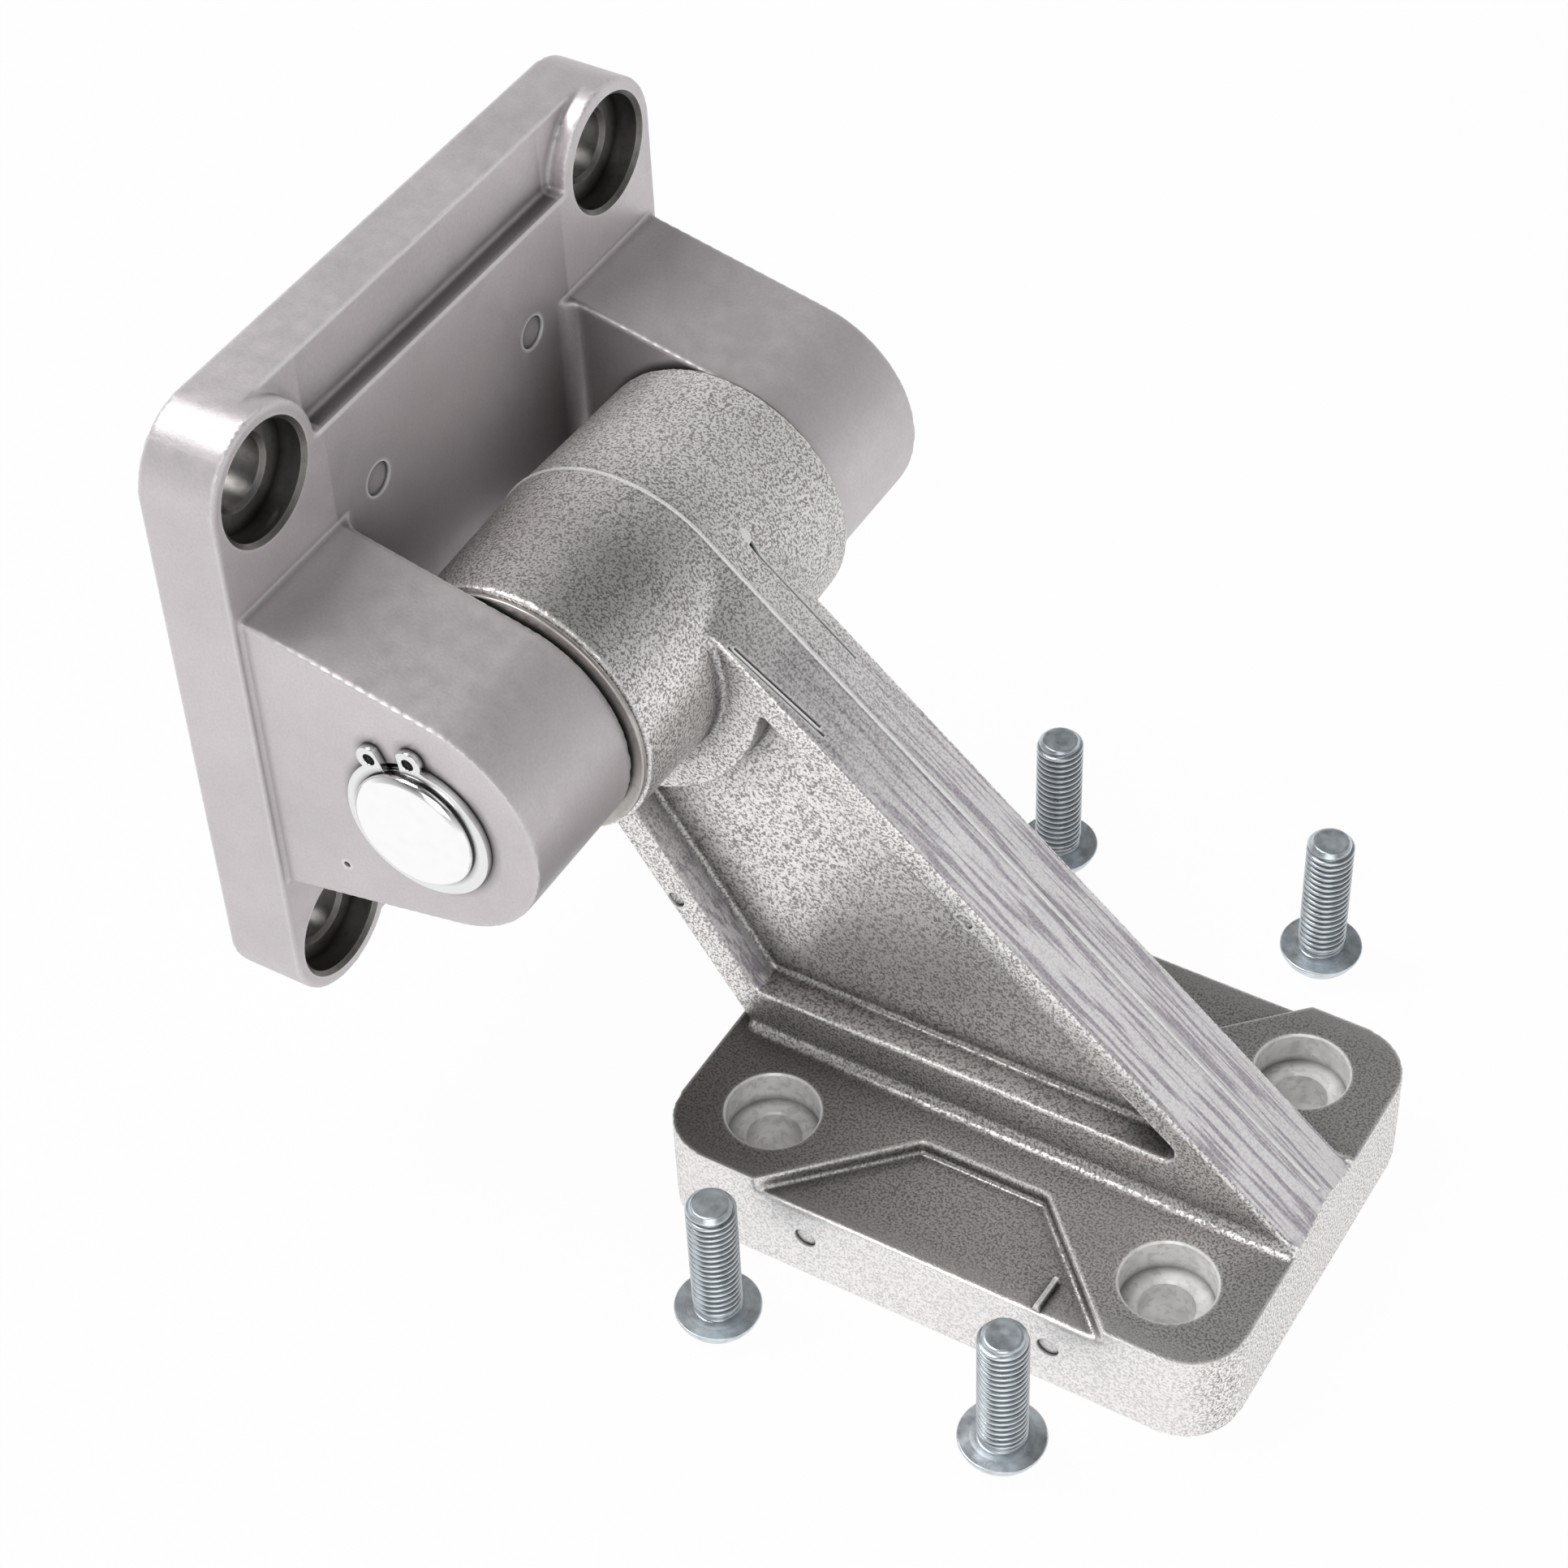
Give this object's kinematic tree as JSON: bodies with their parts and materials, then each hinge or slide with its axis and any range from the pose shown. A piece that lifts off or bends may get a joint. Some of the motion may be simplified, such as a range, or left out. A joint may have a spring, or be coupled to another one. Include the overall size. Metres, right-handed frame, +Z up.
{
  "type": "swivel fastener",
  "caption": "Clevis fork plate on a pin, carried by a right-angle foot bracket, that lets the end of a fluid cylinder swivel.",
  "frame": {"origin": "centre of the foot's four holes, on the underside of the foot", "axes": "+X from the eye towards the free end of the foot, +Y along the pin away from the picture's camera, +Z up from the foot"},
  "size_m": [0.163, 0.129, 0.1505],
  "materials": {
    "fork": "die cast, satin",
    "angle_bracket": "rough cast, zinc coated",
    "bush": "plain",
    "clevis_pin": "ground and bright",
    "retaining_ring": "bright",
    "cap_screw": "zinc plated"
  },
  "bodies": {
    "bracket": {"angle_bracket": "angle_bracket", "bush_near": "bush", "bush_far": "bush"},
    "fork": {"fork": "fork"},
    "pin": {"clevis_pin": "clevis_pin", "retaining_ring_near": "retaining_ring", "retaining_ring_far": "retaining_ring"},
    "screw_1": {"cap_screw_1": "cap_screw"},
    "screw_2": {"cap_screw_2": "cap_screw"},
    "screw_3": {"cap_screw_3": "cap_screw"},
    "screw_4": {"cap_screw_4": "cap_screw"}
  },
  "joints": [
    {"name": "fork_swivel", "type": "hinge", "parent": "bracket", "child": "fork", "pos_m": [-0.072, 0, 0.094], "axis": [0, 1, 0], "range_deg": [-35, 130]},
    {"name": "pin_turn", "type": "hinge", "parent": "fork", "child": "pin", "pos_m": [-0.072, 0, 0.094], "axis": [0, 1, 0], "continuous": true},
    {"name": "screw_1_lift", "type": "slide", "parent": "bracket", "child": "screw_1", "axis": [0, 0, 1], "range_m": [0, 0.05]},
    {"name": "screw_2_lift", "type": "slide", "parent": "bracket", "child": "screw_2", "axis": [0, 0, 1], "range_m": [0, 0.05]},
    {"name": "screw_3_lift", "type": "slide", "parent": "bracket", "child": "screw_3", "axis": [0, 0, 1], "range_m": [0, 0.05]},
    {"name": "screw_4_lift", "type": "slide", "parent": "bracket", "child": "screw_4", "axis": [0, 0, 1], "range_m": [0, 0.05]}
  ]
}
